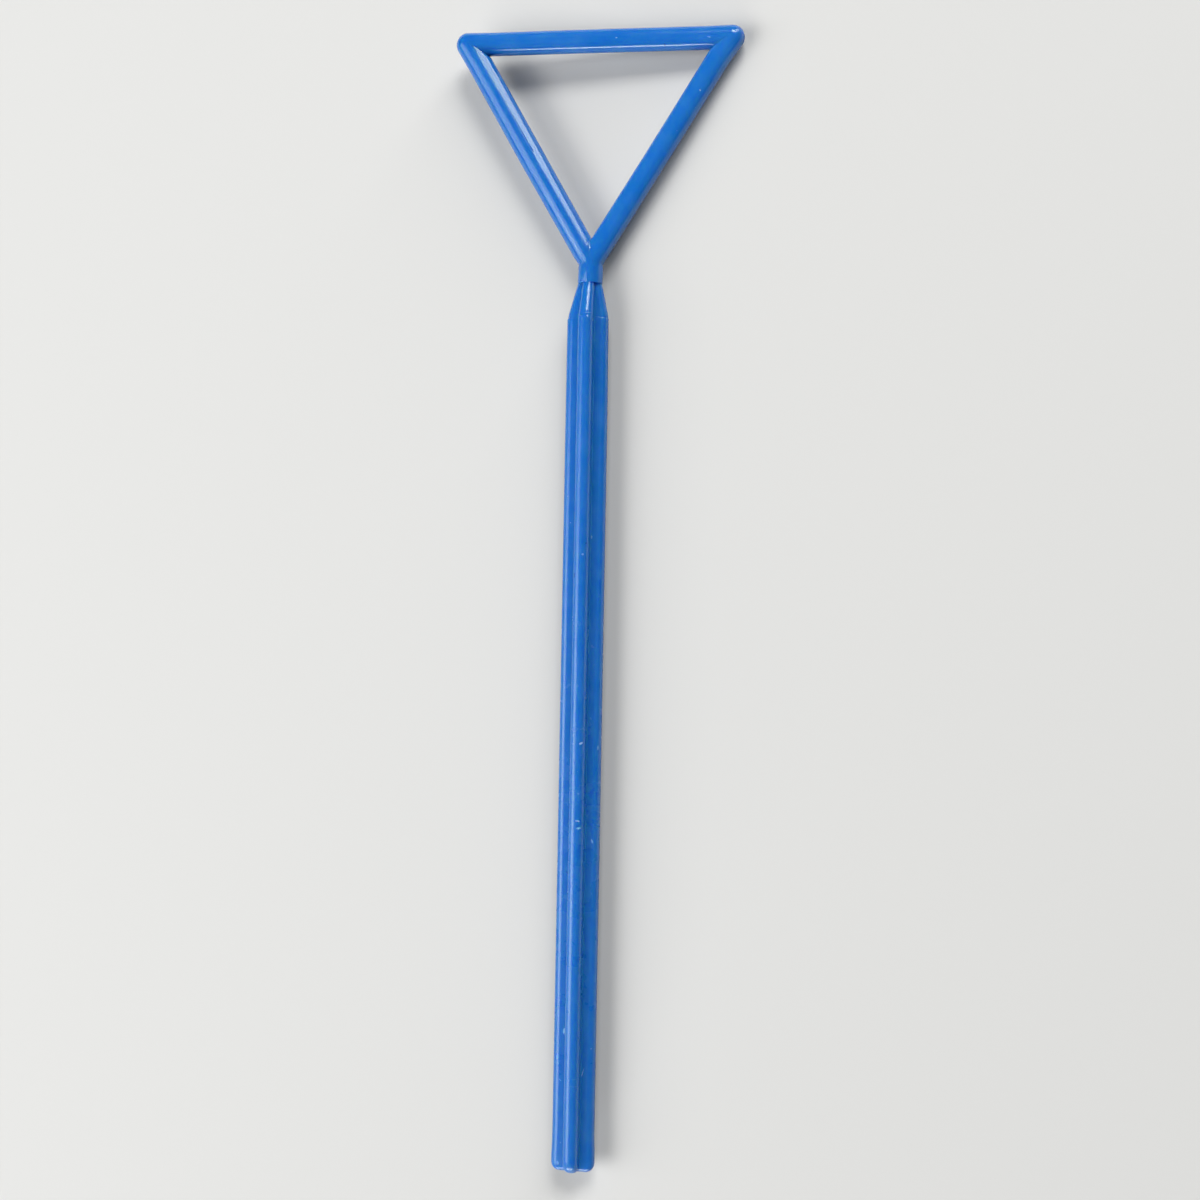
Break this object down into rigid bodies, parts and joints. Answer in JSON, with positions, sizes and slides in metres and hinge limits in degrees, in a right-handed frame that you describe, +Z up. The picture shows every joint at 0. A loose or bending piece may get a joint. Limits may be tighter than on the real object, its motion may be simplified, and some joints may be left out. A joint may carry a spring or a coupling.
{
  "type": "cell spreader",
  "caption": "One-piece moulded cell spreader with a triangular head of round rod, a short neck and a long cross-section handle, for spreading a sample over an agar plate.",
  "frame": {"origin": "centre of the bounding box's footprint, on the surface the spreader lies on", "axes": "+Z up, +Y along the handle towards the triangular head, +X towards the head's lower corner"},
  "size_m": [0.0374, 0.1458, 0.0054],
  "materials": {
    "blue_plastic": "gloss"
  },
  "bodies": {
    "root": {"spreader": "blue_plastic"}
  },
  "joints": []
}
